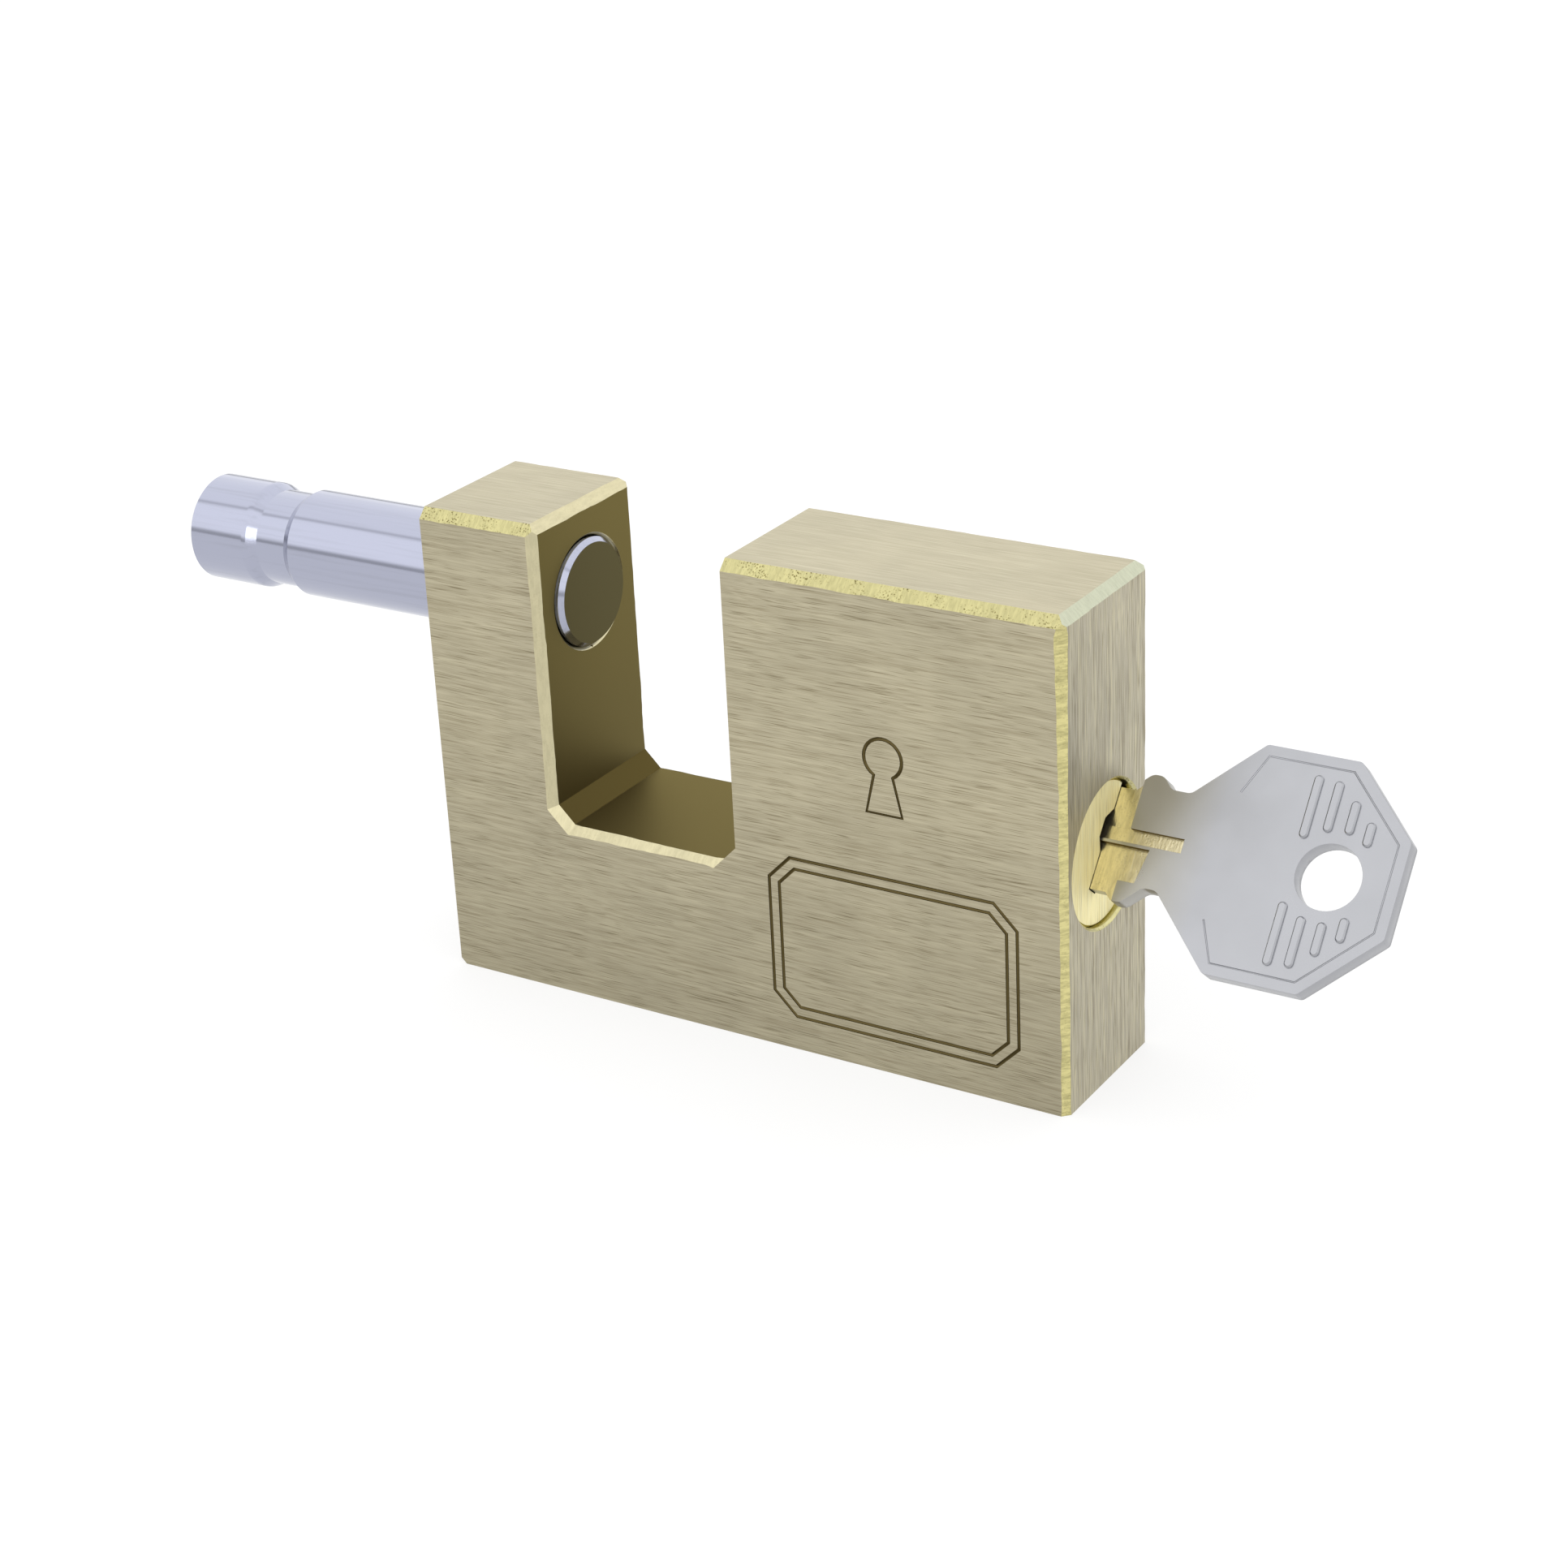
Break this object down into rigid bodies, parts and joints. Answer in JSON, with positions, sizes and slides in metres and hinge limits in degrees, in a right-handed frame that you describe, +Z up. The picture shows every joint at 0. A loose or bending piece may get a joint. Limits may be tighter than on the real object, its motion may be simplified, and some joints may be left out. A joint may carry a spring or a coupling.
{
  "type": "shutter padlock",
  "caption": "Solid brass U-shaped padlock for a roller shutter, with a round steel bar that slides across the gap and an octagonal key in the end face.",
  "frame": {"origin": "centre of the brass body's flat bottom face", "axes": "+X from the bar end to the key end, along the bar and the plug; +Y from the front face to the back; +Z up, out of the open gap"},
  "size_m": [0.1314, 0.0175, 0.0495],
  "materials": {
    "body_brass": "brushed, bright machined chamfers",
    "plug_brass": "face brushed",
    "bar_steel": "polished hard chrome plate",
    "key_nickel": "nickel plate over brass, satin",
    "pin_brass": "turned",
    "inner_steel": "turned, zinc plated",
    "spring_steel": "drawn wire"
  },
  "bodies": {
    "body": {"lock_body": "body_brass", "driver_pin_1": "pin_brass", "driver_spring_1": "spring_steel", "chamber_cap_1": "body_brass", "driver_pin_2": "pin_brass", "driver_spring_2": "spring_steel", "chamber_cap_2": "body_brass", "driver_pin_3": "pin_brass", "driver_spring_3": "spring_steel", "chamber_cap_3": "body_brass", "driver_pin_4": "pin_brass", "driver_spring_4": "spring_steel", "chamber_cap_4": "body_brass", "driver_pin_5": "pin_brass", "driver_spring_5": "spring_steel", "chamber_cap_5": "body_brass", "plug_keeper_pin": "inner_steel", "detent_plunger": "inner_steel", "catch_spring": "spring_steel", "catch_cap": "body_brass", "detent_spring": "spring_steel", "detent_cap": "body_brass"},
    "bar": {"locking_bar": "bar_steel"},
    "plug": {"cylinder_plug": "plug_brass", "key": "key_nickel", "key_pin_1": "pin_brass", "key_pin_2": "pin_brass", "key_pin_3": "pin_brass", "key_pin_4": "pin_brass", "key_pin_5": "pin_brass", "cam": "inner_steel"},
    "catch": {"catch": "inner_steel"}
  },
  "joints": [
    {"name": "bar_slide", "type": "slide", "parent": "body", "child": "bar", "axis": [1, 0, 0], "range_m": [0, 0.0335]},
    {"name": "key_turn", "type": "hinge", "parent": "body", "child": "plug", "pos_m": [0, 0, 0.0235], "axis": [1, 0, 0], "range_deg": [-50, 40]},
    {"name": "catch_lift", "type": "slide", "parent": "body", "child": "catch", "axis": [0, 0, 1], "range_m": [-0.0012, 0.00096], "deforming": ["catch_spring"]}
  ],
  "couplings": [
    {"joint": "catch_lift", "follows": "key_turn", "m_per_rad": 0.0013505}
  ]
}
